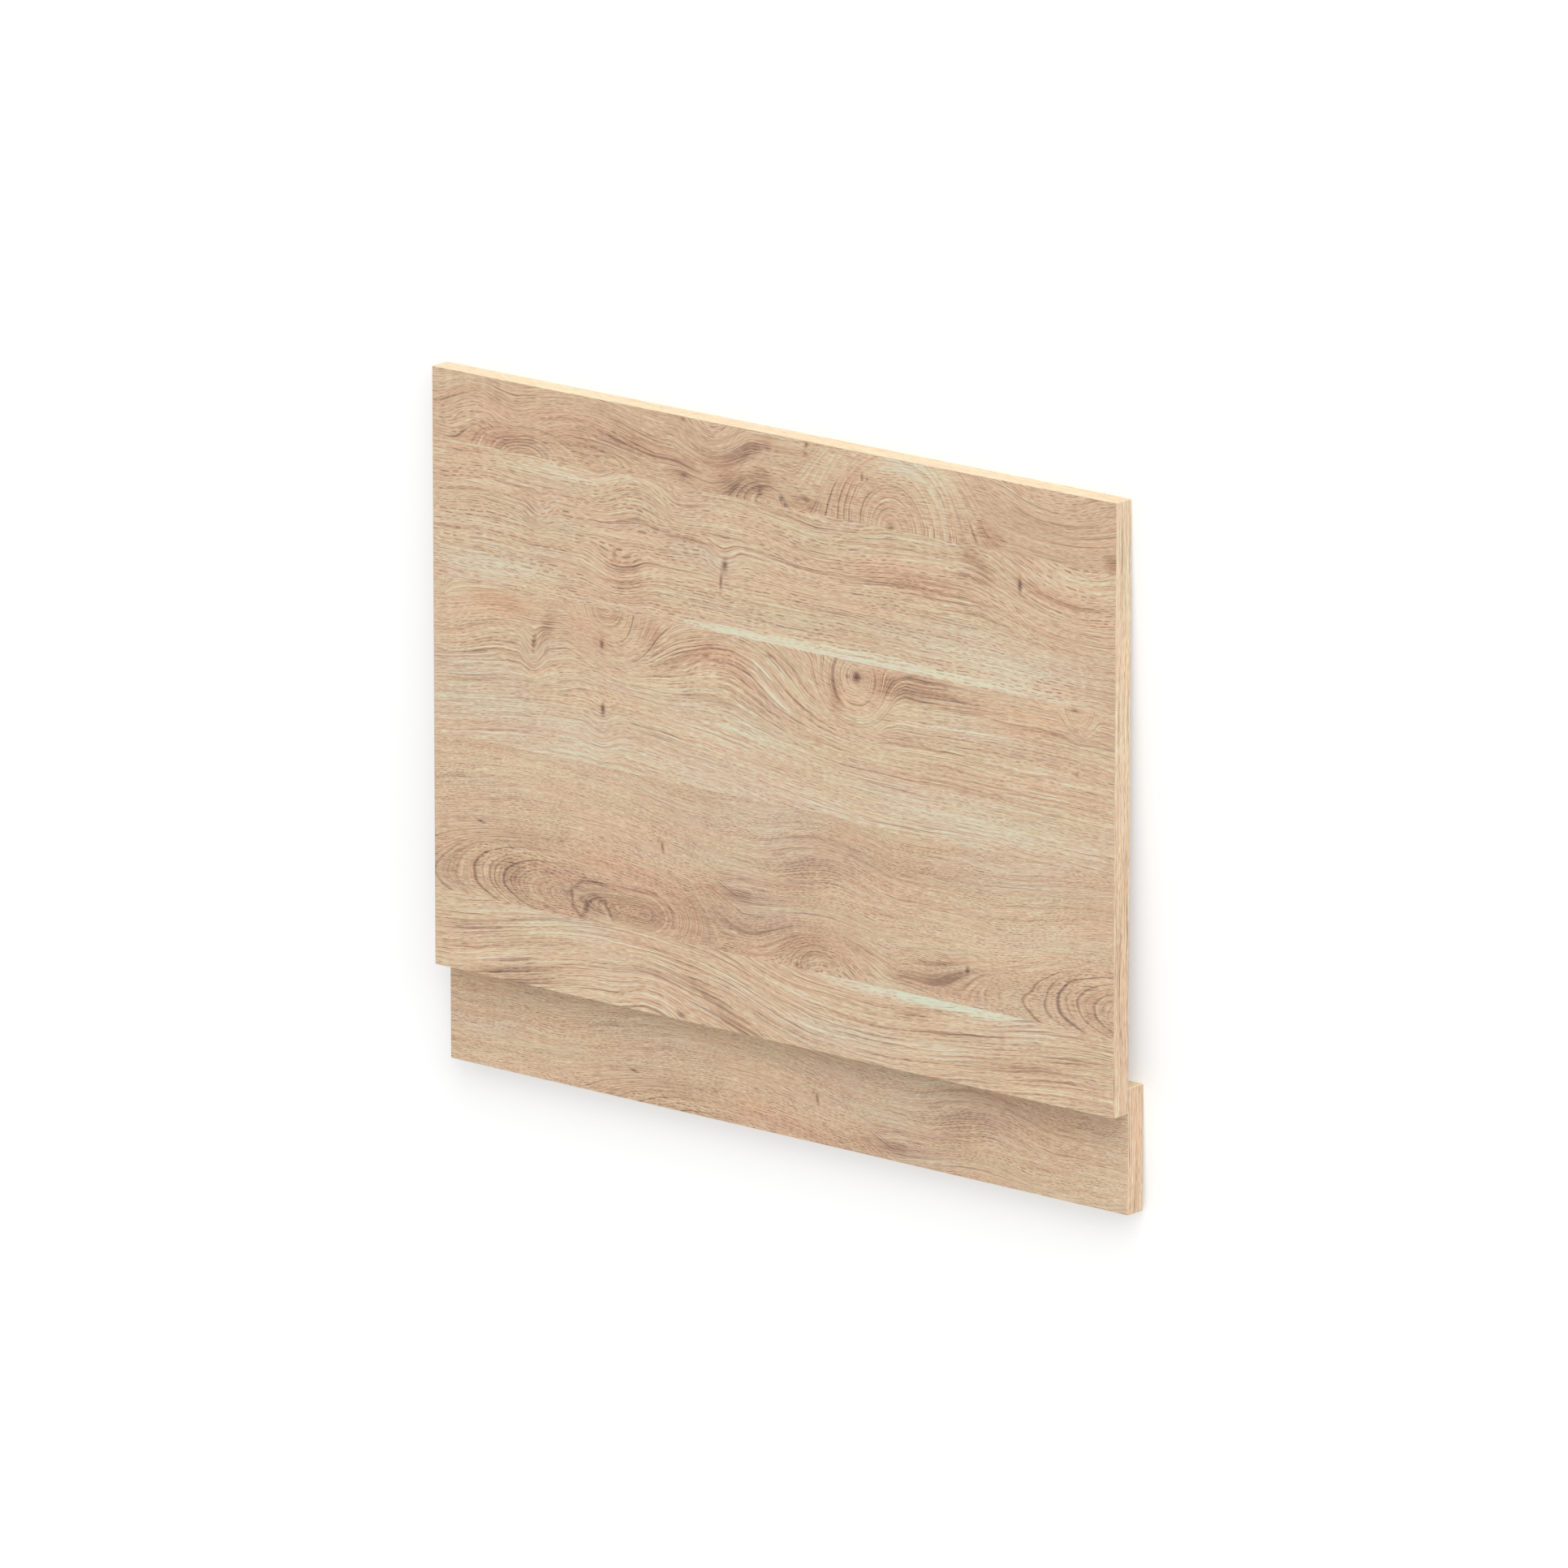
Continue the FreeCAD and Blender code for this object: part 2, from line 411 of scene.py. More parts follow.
            (103, 203, 4, 10, 0.32, 15), (102, 211, 3, 3, 0.2, 0), (172, 194, 3.5, 7, 0.32, 0),
            (173, 245, 4, 10, 0.4, 0), (427, 177, 9, 9, 0.5, 0), (418, 178, 4, 3, 0.26, 0),
            (341, 175, 9, 3.5, 0.2, 0), (277, 185, 8, 2, 0.24, -10), (643, 217, 4, 4, 0.2, 0),
            (641, 167, 10, 4, 0.22, 0), (163, 247, 6, 2, 0.16, 0), (527, 179, 14, 2.5, 0.2, 5),
            (480, 168, 14, 4, 0.16, -20),
        ),
        stains=(
            (75, 180, 55, 12, -0.04, 5), (116, 190, 10, 26, -0.08, 30), (172, 193, 14, 12, -0.04, 0),
            (185, 168, 44, 13, -0.05, 0), (150, 186, 60, 26, -0.02, 0), (222, 180, 16, 20, -0.05, -40),
            (255, 190, 60, 14, -0.05, -30), (405, 190, 10, 28, -0.07, -10), (488, 176, 46, 15, -0.11, -6),
            (452, 178, 28, 16, -0.08, 0), (530, 180, 40, 9, -0.06, 3), (300, 185, 40, 26, -0.03, 0),
            (540, 274, 130, 22, 0.02, 0), (310, 240, 80, 26, 0.02, 0), (150, 275, 50, 24, 0.015, 0),
            (590, 188, 80, 12, -0.02, 0), (60, 265, 80, 30, 0.01, 0), (340, 285, 520, 70, 0.015, 0),
        ),
        tints=(
            (60, 178, 70, 22, 0.04), (165, 190, 50, 40, 0.025), (290, 188, 60, 30, 0.015),
            (430, 190, 60, 40, 0.015), (610, 178, 70, 18, 0.03), (300, 230, 110, 24, -0.03),
            (550, 268, 150, 24, -0.02), (160, 276, 50, 30, -0.02), (40, 245, 120, 44, -0.025),
            (340, 285, 520, 50, -0.015),
        ),
    ),
    Strip(
        foot=417.2, brightness=0.744, ring_step=5, ring_depth=0.05,
        pore_pitch=1.6, pore_length=6, pore_depth=0.25,
        waves=(
            (400, 320, 80, 60, 13), (130, 330, 170, 90, 18), (715, 330, 170, 90, 20), (60, 372, 90, 30, 6),
            (645, 372, 90, 30, 6), (395, 395, 80, 44, 20), (445, 395, 40, 40, -4),
        ),
        swirls=(
            (215, 402, 300, 80, 52, 90, 1.3, -0.01), (800, 402, 300, 80, 52, 90, 1.3, -0.01),
            (390, 420, 50, 46, 38, 26, 0.75, -0.01),
        ),
        lines=(
            (25, 368, 60, 1.4, -0.10), (15, 386, 70, 0.9, -0.12), (30, 386, 60, 0.6, -0.08),
            (46, 386, 100, 1.1, -0.16), (54, 386, 60, 0.5, -0.07), (61, 386, 80, 0.7, -0.12),
            (67, 386, 80, 0.6, -0.11), (79, 386.5, 100, 1.2, -0.18), (86, 388, 80, 0.6, -0.10),
            (94, 390, 70, 0.5, -0.08), (103, 392, 50, 0.5, -0.07), (112, 394, 40, 0.5, -0.06),
            (305, 370, 30, 3, -0.10), (312, 382, 40, 1.4, -0.07), (328, 396, 50, 1.6, -0.09),
            (390, 371, 50, 1.6, -0.13), (440, 392, 36, 1.6, -0.11), (375, 392, 36, 1.6, -0.08),
            (420, 408, 14, 1.8, -0.12), (462, 407, 18, 1.6, -0.13), (430, 340, 50, 1.4, -0.06),
            (475, 345, 32, 1.6, -0.11), (600, 338, 80, 1.6, -0.07), (510, 388, 40, 1.8, -0.11),
            (515, 397, 40, 1.6, -0.11), (600, 358, 70, 1.4, 0.05), (605, 386, 80, 0.9, -0.13),
            (618, 386, 80, 0.6, -0.10), (630, 386, 100, 1.2, -0.17), (637, 386, 80, 0.6, 0.05),
            (648, 387, 90, 0.8, -0.14), (657, 388, 70, 0.5, -0.08), (666, 388, 90, 1.1, -0.15),
            (20, 325, 50, 1.4, -0.06), (60, 310, 60, 1.4, -0.04), (640, 322, 60, 1.4, -0.05),
            (640, 334, 60, 1.4, -0.05),
        ),
        knots=(
            (233, 345, 3, 9, 0.28, -15), (229, 340, 2, 6, 0.18, 20), (48, 356, 8, 2.5, 0.34, 12),
            (537, 389, 4, 5, 0.32, 0), (368, 415, 6, 4, 0.22, 0), (301, 398, 5, 2, 0.16, 0),
            (365, 393, 6, 2.5, 0.14, -20), (20, 401, 10, 1.5, 0.14, 0),
        ),
        stains=(
            (390, 320, 80, 40, -0.035, -15), (480, 320, 90, 26, -0.02, 0), (100, 310, 150, 30, 0.015, 0),
            (220, 396, 300, 40, -0.055, 0), (20, 392, 60, 30, -0.02, 0), (80, 392, 16, 18, -0.03, 0),
            (90, 362, 120, 15, -0.03, 0), (215, 402, 40, 14, -0.04, 0), (165, 402, 26, 18, -0.03, 0),
            (300, 371, 46, 9, -0.05, 0), (146, 411, 12, 3, -0.09, 45), (141, 399, 12, 3, -0.10, 85),
            (148, 389, 13, 3, -0.10, -42), (170, 385.5, 28, 2.6, -0.13, 4), (208, 385, 32, 2.6, -0.12, -3),
            (240, 393, 20, 2.4, -0.08, 24), (156, 406, 13, 4.5, -0.11, -68), (168, 397, 12, 2.6, -0.09, 8),
            (179, 406, 14, 2.6, -0.09, 62), (174, 406, 12, 2, 0.04, 52), (247, 405, 8, 2.4, -0.07, -50),
            (375, 400, 50, 24, -0.03, 0), (530, 395, 60, 16, -0.035, 0), (505, 405, 80, 13, -0.04, 0),
            (310, 360, 64, 18, -0.03, 0), (650, 395, 60, 28, -0.045, 0), (455, 404, 20, 12, 0.05, 30),
            (175, 412, 10, 8, 0.03, 0), (560, 365, 120, 16, 0.02, 0), (620, 345, 80, 24, 0.02, 0),
            (370, 350, 50, 22, -0.03, -20),
        ),
        tints=(
            (340, 308, 150, 56, -0.03), (330, 375, 80, 40, -0.02), (170, 362, 50, 16, 0.02),
            (185, 404, 24, 20, 0.01), (580, 306, 120, 36, -0.02), (150, 385, 200, 50, 0.006),
            (480, 320, 40, 40, 0.015),
        ),
    ),
    Strip(
        foot=480, brightness=0.756, ring_step=4.5, ring_depth=0.13,
        pore_pitch=2.4, pore_length=10, pore_depth=0.15,
        waves=(
            (195, 450, 200, 130, 27), (222, 462, 44, 36, 7), (440, 450, 170, 130, -14),
            (680, 445, 120, 110, 9),
        ),
        lines=(
            (30, 442, 40, 1.8, -0.06), (90, 428, 60, 1.6, -0.07), (140, 421, 50, 1.6, -0.07),
            (110, 440, 50, 1.8, -0.06), (120, 433, 80, 3, 0.04), (20, 457, 30, 1.6, -0.07),
            (85, 461, 32, 3, -0.13), (90, 469, 50, 2, -0.12), (150, 456, 60, 2, -0.08),
            (60, 476, 40, 3, -0.10), (150, 464, 60, 2, 0.04), (215, 448, 40, 1.8, -0.13),
            (225, 455, 40, 1.6, -0.09), (222, 465, 36, 2.5, 0.06), (245, 444, 50, 1.8, -0.10),
            (280, 455, 46, 2.4, -0.12), (295, 463, 46, 2.2, -0.12), (270, 436, 60, 2.5, -0.07),
            (215, 426, 60, 1.6, -0.06), (300, 438, 46, 2, 0.07), (322, 432, 46, 1.8, -0.10),
            (335, 426, 46, 1.8, -0.09), (350, 424, 46, 1.8, -0.08), (318, 476, 40, 4, -0.10),
            (365, 438, 60, 2.5, 0.09), (400, 445, 60, 2, -0.08), (440, 448, 46, 2.5, -0.09),
            (385, 462, 50, 2.5, 0.07), (440, 456, 60, 2, -0.08), (350, 470, 50, 2, -0.08),
            (482, 434, 26, 3, -0.10), (500, 427, 60, 2, -0.06), (540, 440, 70, 1.8, -0.11),
            (560, 447, 80, 1.8, -0.09), (600, 457, 70, 2.2, -0.14), (560, 461, 60, 1.6, -0.09),
            (610, 453, 60, 1.6, -0.08), (600, 434, 70, 1.8, 0.06), (640, 424, 50, 1.8, -0.10),
            (655, 439, 40, 1.6, -0.09), (560, 470, 110, 2, -0.06), (460, 468, 110, 4, 0.04),
            (530, 477, 60, 2, -0.07), (470, 475, 60, 2, -0.06),
        ),
        knots=((251, 476, 9, 6, 0.2, 0),),
        stains=(
            (500, 418, 150, 11, 0.095, 0), (130, 432, 90, 12, 0.02, -4), (85, 474, 80, 14, -0.05, -6),
            (275, 452, 50, 12, -0.04, 30), (310, 474, 50, 12, -0.05, 12), (490, 437, 40, 8, -0.03, 0),
            (30, 440, 50, 12, -0.02, 0), (600, 456, 80, 8, -0.03, 0),
        ),
        tints=(
            (40, 465, 60, 18, 0.03), (620, 468, 90, 20, 0.02), (400, 462, 70, 20, -0.03),
            (510, 418, 150, 12, -0.04), (120, 422, 110, 10, -0.02),
        ),
    ),
]

# The back, the long edges and the ends.
BACK_STRIP = Strip(
    brightness=0.735, ring_step=7, ring_depth=0.06,
    pore_pitch=2.6, pore_length=8, pore_depth=0.15,
)
# The long edges, top and bottom, are printed paler and warmer than the face: painted highlight, for the
# bright lamp light that falls on the panel's top edge.
PAINTED_PALE_EDGE_STRIP = Strip(
    brightness=0.845, ring_step=6, ring_depth=0.05,
    pore_pitch=2.8, pore_length=14, pore_depth=0.08,
    tints=((340, 27, 4000, 400, 0.055),),
)
END_STRIP = Strip(
    brightness=0.757, ring_step=4, ring_depth=0.12,
    pore_pitch=2.6, pore_length=16, pore_depth=0.14,
    knots=((-415, 28, 8, 3, 0.2, 0),),
    # The two broad entries below make the end paler towards the panel's top and darker towards its foot.
    stains=((-80, 27, 260, 400, 0.02, 0), (-400, 27, 160, 400, -0.012, 0)),
)
STRIPS = [*FACE_STRIPS, BACK_STRIP, PAINTED_PALE_EDGE_STRIP, END_STRIP]
BACK, EDGE, END = range(len(FACE_STRIPS), len(STRIPS))

# Strips lie this far apart in the print, so that no wave or knot reaches into its neighbour.
STRIP_SPACING = 1000

# Bends of the fibres, and how many millimetres they rise.
WIDE_BENDS = Spots(70, 30)
WIDE_BEND_RISE = 2.6
SMALL_BENDS = Spots(22, 12, start=7)
SMALL_BEND_RISE = 1.2

# Growth rings: how far they drift, counted in rings, and how their pale and dark sides fade.
RING_DRIFT = Spots(90, 25, start=3)
RING_DRIFT_COUNT = 2.5
RING_FADE = 4
RING_EDGE = 12
EARLY_WOOD_PALENESS = 0.45

# Pores in rows of dashes: how far rows and dashes drift, counted in rows and dashes.
ROW_DRIFT = Spots(80, 12, start=11)
ROW_DRIFT_COUNT = 1.6
DASH_DRIFT = Spots(30, 5, start=5)
DASH_DRIFT_COUNT = 1.5
LARGEST_ROW_SHIFT = 40

# A dash, as shares of its cell: half its length, how far it lies off its row, how its ends and sides fade.
SHORTEST_HALF_DASH = 0.22
HALF_DASH_RANGE = 0.3
DASH_OFFSET_RANGE = 0.3
DASH_END_SLOPE = 6
DASH_SIDE_SLOPE = 4
FAINTEST_DASH = 0.2

# Zones with many pores. The rings are fainter there.
POROUS_ZONES = Spots(70, 12, detail=1, start=91)
POROUS_SLOPE = 3
POROUS_START = 0.75
RINGS_WITHOUT_PORES = 1.4

# Thin lines along the rings: where the noise turns into a dark or a pale line, and how deep it is.
THIN_LINES = Spots(140, 1.2, detail=1, start=51)
DARK_LINE_SLOPE = 7
DARK_LINE_START = -0.5
DARK_LINE_DEPTH = 1.2
PALE_LINE_SLOPE = -6
PALE_LINE_START = -0.6
PALE_LINE_DEPTH = 0.5

# Bands, streaks and fibres of the print, from broad to fine, each with its change of brightness.
BANDS = Spots(160, 7, detail=2, start=21)
BAND_DEPTH = 0.08
STREAKS = Spots(80, 2.4, detail=1, start=31)
STREAK_DEPTH = 0.065
FIBRES = Spots(18, 0.52, detail=1, start=101)
FIBRE_SLOPE = 7
FIBRE_START = -0.35
FIBRE_DEPTH = 0.10
FINE_FIBRES = Spots(7, 0.42, detail=1, start=41)
FINE_FIBRE_DEPTH = 0.25

# Depth of a stain, and how much its depth changes from one thin line to the next.
STAIN_DEPTH = 1.4
STAIN_GRAIN = 4

# How many millimetres the streaks fray the rims of stains and knots.
STAIN_FRAY = 6
KNOT_FRAY = 3

# How far the print drifts to warmer or greyer, as a share of its colour: in broad zones, from fibre to
# fibre, and where a stain darkens it.
WARM_ZONES = Spots(120, 30, detail=2, start=61)
ZONE_WARMTH = 0.06
WARM_FIBRES = Spots(80, 1.8, detail=2, start=81)
FIBRE_WARMTH = 0.13
STAIN_WARMTH = 0.25

# How far dark zones of the print turn pink and pale ones green, again as a share of its colour.
PINK_ZONES = Spots(140, 24, detail=1, start=111)
ZONE_BLUSH = 0.05
STAIN_BLUSH = 0.10
STREAK_BLUSH = 0.05

# What warmth and blush do to red, green and blue.
WARM_SHIFT = (1, -0.4, -1.5)
BLUSH_SHIFT = (1, -1, 0)

# Colours of the print by brightness, from the heart of a knot to the palest streak.
OAK_COLOURS = (
    (0.37, (110, 90, 85)),
    (0.52, (157, 128, 107)),
    (0.57, (171, 141, 117)),
    (0.637, (188, 158, 132)),
    (0.672, (198, 167, 139)),
    (0.707, (206, 176, 147)),
    (0.736, (213, 184, 154)),
    (0.761, (217, 191, 161)),
    (0.781, (219, 197, 167)),
    (0.816, (220, 208, 180)),
    (0.838, (220, 215, 188)),
)

# The facing: matt, rougher in its pores, with a fine grain pressed into it.
ROUGHNESS = 0.52
PORE_ROUGHNESS = 1.2
SPECULAR_LEVEL = 0.2
EMBOSSED_GRAIN = Spots(9, 0.6, detail=1, start=71)
EMBOSS_DEPTH = 0.15
EMBOSS_STRENGTH = 0.25


def linear(colour):
    """Screen colour, 0 to 255, to linear light."""
    shares = (value / 255 for value in colour)
    return tuple(
        share / 12.92 if share <= 0.04045 else ((share + 0.055) / 1.055) ** 2.4 for share in shares
    )


def by_strip(row, field):
    """The number that each strip of the print has for a field."""
    count = len(STRIPS)
    stops = [(index / count, [getattr(strip, field)] * 3) for index, strip in enumerate(STRIPS)]
    return colour_ramp(row.times_plus(1 / count, 0.5 / count), stops, "CONSTANT")


def print_start(shift):
    """Where the frame's origin lies in the print, in board millimetres from its top left corner."""
    return Vector((shift[0], -shift[1], 0)) - TO_BOARD @ ORIGIN / MM


def print_place(tree, shift):
    """Where a point of a board lies in the print: along the grain, across it, and in which strip."""
    position = Signal(add_node(tree, "ShaderNodeTexCoord").outputs["Object"])
    mapping = add_node(tree, "ShaderNodeMapping", name=PRINT_PLACE)
    feed(mapping.inputs["Vector"], position)
    mapping.inputs["Scale"].default_value = (1 / MM, 1 / MM, 1 / MM)
    mapping.inputs["Rotation"].default_value = TO_BOARD.to_euler()
    mapping.inputs["Location"].default_value = print_start(shift)
    right, up, out = Signal(mapping.outputs["Vector"]).parts()

    normal = Signal(add_node(tree, "ShaderNodeNewGeometry").outputs["True Normal"])
    half_turned = math.sqrt(0.5)
    on_end = normal.vector("DOT_PRODUCT", tuple(RIGHT)).math("ABSOLUTE").above(half_turned)
    on_edge = normal.vector("DOT_PRODUCT", tuple(UP)).math("ABSOLUTE").above(half_turned)
    on_back = normal.vector("DOT_PRODUCT", tuple(-OUT)).above(half_turned)

    down = up * -1
    face_row = down.above(FACE_STRIPS[0].foot)
    for strip in FACE_STRIPS[1:-1]:
        face_row = face_row + down.above(strip.foot)
    row = choose(on_end, choose(on_edge, choose(on_back, face_row, BACK), EDGE), END)
    along = choose(on_end, right, up)
    across = choose(on_end.math("MAXIMUM", on_edge), down, out)
    return along, row.times_plus(STRIP_SPACING, across), row


def sum_in_strips(place, field, term_at):
    """The sum of all features of a kind, as a function finds each one's number and weight at a place."""
    total = None
    for index, strip in enumerate(STRIPS):
        start = index * STRIP_SPACING
        features = [(along, down + start, *rest) for along, down, *rest in getattr(strip, field)]
        if not features:
            continue
        part = grouped(
            place,
            f"{field}_{index + 1}",
            lambda inside: (term_at(inside, *feature) for feature in features),
        )
        total = part if total is None else total + part
    return total


def offset_from(place, along, down, reach_along, reach_down, tilt=0):
    """The way from a centre, measured in reaches; a tilt lowers the right-hand side."""
    if tilt:
        offset = place.vector("SUBTRACT", (along, down, 0))
        level, steep = math.cos(math.radians(tilt)), math.sin(math.radians(tilt))
        return combine(
            offset.vector("DOT_PRODUCT", (level / reach_along, steep / reach_along, 0)),
            offset.vector("DOT_PRODUCT", (-steep / reach_down, level / reach_down, 0)),
        )
    return place.vector(
        "MULTIPLY_ADD",
        (1 / reach_along, 1 / reach_down, 0),
        (-along / reach_along, -down / reach_down, 0),
    )


def soft_hill(place, along, down, reach_along, reach_down, height, tilt=0):
    """1 at a centre, falling smoothly to 0 at its reach; and its height."""
    offset = offset_from(place, along, down, reach_along, reach_down, tilt)
    nearness = offset.vector("DOT_PRODUCT", offset).rest_of_one()
    return nearness * nearness, height


def sharp_spot(place, along, down, reach_along, reach_down, height, tilt=0):
    """1 at a centre, falling steeply from a sharp tip to 0 at its reach; and its height."""
    nearness = offset_from(place, along, down, reach_along, reach_down, tilt).vector("LENGTH").rest_of_one()
    return nearness * nearness, height


def swirl_distance(place, along, down, reach_left, reach_right, reach_down):
    """The way from a swirl's centre, measured in its reaches."""
    right, below, _ = place.vector("SUBTRACT", (along, down, 0)).parts()
    beside = (right * (1 / reach_right)).math("MAXIMUM", right * (-1 / reach_left))
    return combine(beside, below * (1 / reach_down)).vector("LENGTH")


def nearness_in_swirl(distance, share):
    """1 in a swirl's heart, falling to 0 at a share of its reach."""
    part = distance * (1 / share)
    return ((part * part).rest_of_one() * SWIRL_HEART).math("MINIMUM", 1)


def ring_turn(place, along, down, reach_left, reach_right, reach_down, rise, share, _depth):
    """How the rings turn round a swirl: raised to a cone, and level inside it."""
    distance = swirl_distance(place, along, down, reach_left, reach_right, reach_down)
    cone = distance.rest_of_one().math("POWER", CONE_POWER)
    across = place.parts()[1]
    inside = nearness_in_swirl(distance, share)
    return inside.times_plus(across.times_plus(-1, down), cone * rise), 1


def ring_emphasis(place, along, down, reach_left, reach_right, reach_down, _rise, share, depth):
    """How much deeper the rings print inside a swirl."""
    distance = swirl_distance(place, along, down, reach_left, reach_right, reach_down)
    inside = nearness_in_swirl(distance, share)
    return inside * inside, depth


def fibre_flow(place, across):
    """Across the grain, measured from fibre to fibre: it bends over the waves."""
    flow = across + noise(place, WIDE_BENDS) * WIDE_BEND_RISE + noise(place, SMALL_BENDS) * SMALL_BEND_RISE
    return flow + sum_in_strips(place, "waves", soft_hill)


def ring_lines(ring_place, rings, step):
    """Growth rings: each is pale before a dark line that fades into the next ring."""
    count = rings.math("DIVIDE", step) + noise(ring_place, RING_DRIFT) * RING_DRIFT_COUNT
    number = count.math("FLOOR")
    share = count - number
    late_wood = share.rest_of_one().math("POWER", RING_FADE) * share.share_of_one(RING_EDGE)
    return share.math("POWER", RING_FADE) * EARLY_WOOD_PALENESS - late_wood * random_number(number)


def with_thin_lines(lines, thin_lines):
    """The growth rings with thin lines between them, dark and pale."""
    lines = thin_lines.share_of_one(DARK_LINE_SLOPE, DARK_LINE_START).times_plus(-DARK_LINE_DEPTH, lines)
    return thin_lines.share_of_one(PALE_LINE_SLOPE, PALE_LINE_START).times_plus(PALE_LINE_DEPTH, lines)


def pore_dashes(fibre_place, flow, along, pitch, length):
    """Rows of short dark dashes along the fibres, with paler wood between the rows."""
    row_count = flow.math("DIVIDE", pitch) + noise(fibre_place, ROW_DRIFT) * ROW_DRIFT_COUNT
    row = row_count.math("FLOOR")
    across = row_count - row - 0.5
    dash_count = along.math("DIVIDE", length) + random_number(row) * LARGEST_ROW_SHIFT
    dash_count = dash_count + noise(fibre_place, DASH_DRIFT) * DASH_DRIFT_COUNT
    dash = dash_count.math("FLOOR")
    from_middle = (dash_count - dash - 0.5).math("ABSOLUTE")
    size, drift, depth = random_numbers(combine(dash, row))
    half_dash = size.times_plus(HALF_DASH_RANGE, SHORTEST_HALF_DASH)
    ends = (half_dash - from_middle).share_of_one(DASH_END_SLOPE)
    from_line = (across + (drift - 0.5) * DASH_OFFSET_RANGE).math("ABSOLUTE")
    sides = from_line.share_of_one(-DASH_SIDE_SLOPE, 1)
    return ends * sides * depth.times_plus(1 - FAINTEST_DASH, FAINTEST_DASH)


def oak_grain(along, across, row):
    """The print at a place: its brightness, its warmth, its blush, and how deep its pores are."""
    place = combine(along, across)
    flow = fibre_flow(place, across)
    rings = flow + sum_in_strips(place, "swirls", ring_turn)
    fibre_place = combine(along, flow)
    ring_place = combine(along, rings)

    porous = noise(fibre_place, POROUS_ZONES).share_of_one(POROUS_SLOPE, POROUS_START)
    pores = pore_dashes(fibre_place, flow, along, by_strip(row, "pore_pitch"), by_strip(row, "pore_length"))
    pores = pores * by_strip(row, "pore_depth") * porous
    ring_depth = by_strip(row, "ring_depth") * porous.times_plus(-1, RINGS_WITHOUT_PORES)
    ring_depth = ring_depth + sum_in_strips(place, "swirls", ring_emphasis)

    thin_lines = noise(ring_place, THIN_LINES)
    lines = with_thin_lines(ring_lines(ring_place, rings, by_strip(row, "ring_step")), thin_lines)
    brightness = lines.times_plus(ring_depth, by_strip(row, "brightness"))
    brightness = noise(ring_place, BANDS).times_plus(BAND_DEPTH, brightness)
    streaks = noise(fibre_place, STREAKS)
    brightness = streaks.times_plus(STREAK_DEPTH, brightness)
    fibres = noise(fibre_place, FIBRES).share_of_one(FIBRE_SLOPE, FIBRE_START)
    brightness = fibres.times_plus(-FIBRE_DEPTH, brightness)
    brightness = noise(fibre_place, FINE_FIBRES).times_plus(FINE_FIBRE_DEPTH, brightness)
    brightness = brightness + sum_in_strips(ring_place, "lines_on_rings", soft_hill)
    stains = sum_in_strips(combine(along, streaks.times_plus(STAIN_FRAY, across)), "stains", soft_hill)
    brightness = stains.times_plus(thin_lines.times_plus(STAIN_GRAIN, STAIN_DEPTH), brightness)
    knots = sum_in_strips(combine(along, streaks.times_plus(KNOT_FRAY, across)), "knots", sharp_spot)
    brightness = brightness - knots

    warmth = noise(place, WARM_ZONES) * ZONE_WARMTH
    warmth = noise(ring_place, WARM_FIBRES).times_plus(FIBRE_WARMTH, warmth)
    warmth = stains.times_plus(-STAIN_WARMTH, warmth) + sum_in_strips(place, "tints", soft_hill)
    blush = streaks * -STREAK_BLUSH - stains * STAIN_BLUSH
    blush = noise(ring_place, PINK_ZONES).times_plus(ZONE_BLUSH, blush)
    return brightness - pores, warmth, blush, pores


def oak_colour(brightness, warmth, blush):
    """The print's colour: by brightness, drifting between warmer and greyer, and between pink and green."""
    colour = colour_ramp(brightness, [(position, linear(shade)) for position, shade in OAK_COLOURS])
    drift = add_node(brightness.tree, "ShaderNodeCombineXYZ")
    for socket, warm, pink in zip(drift.inputs, WARM_SHIFT, BLUSH_SHIFT):
        feed(socket, blush.times_plus(pink, warmth.times_plus(warm, 1)))
    return colour.vector("MULTIPLY", Signal(drift.outputs["Vector"]))


def emboss(place):
    """The fine pores that are pressed into the facing, all along the grain."""
    node = add_node(place.tree, "ShaderNodeBump")
    node.inputs["Strength"].default_value = EMBOSS_STRENGTH
    node.inputs["Distance"].default_value = EMBOSS_DEPTH * MM
    feed(node.inputs["Height"], noise(place, EMBOSSED_GRAIN))
    return Signal(node.outputs["Normal"])


def oak_print(name, shift):
    """Board faced with a planked oak print: matt, with shallow pores."""
    material = bpy.data.materials.new(name)
    material.use_nodes = True
    tree = material.node_tree
    shader = tree.nodes["Principled BSDF"]
    along, across, row = print_place(tree, shift)
    brightness, warmth, blush, pores = oak_grain(along, across, row)
    feed(shader.inputs["Base Color"], oak_colour(brightness, warmth, blush))
    feed(shader.inputs["Roughness"], pores.times_plus(PORE_ROUGHNESS, ROUGHNESS))
    feed(shader.inputs["Normal"], emboss(combine(along, across)))
    shader.inputs["Specular IOR Level"].default_value = SPECULAR_LEVEL
    return material


def moved_print(material, name, shift):
    """The same print, moved on its board."""
    moved = material.copy()
    moved.name = name
    moved.node_tree.nodes[PRINT_PLACE].inputs["Location"].default_value = print_start(shift)
    return moved


# Stage

# Light on the panel's face comes to about 1: most of it from all round, the rest from a soft lamp that
# grazes the face.
SKY_LIGHT = 0.74
LAMP_LIGHT = 1.0
LAMP_FROM = Vector((0.60, 0.77, 0.20))
LAMP_SPREAD = math.radians(70)

# Side of the floor in metres, how much light it returns, and how much it gives off to the eye.
FLOOR_SIZE = 12.0
FLOOR_WHITE = 0.8
FLOOR_GLOW = 0.25

# Camera, as angles from the panel's face, aimed at a point of it in board millimetres. Its sight is in
# metres.
CAMERA_TURN = math.radians(39.98)
CAMERA_RISE = math.radians(15.01)
CAMERA_DISTANCE = 13474
CAMERA_AIM = (15.0, 286.4)
CAMERA_FIELD = math.radians(5.093)
CAMERA_SIGHT = 100.0


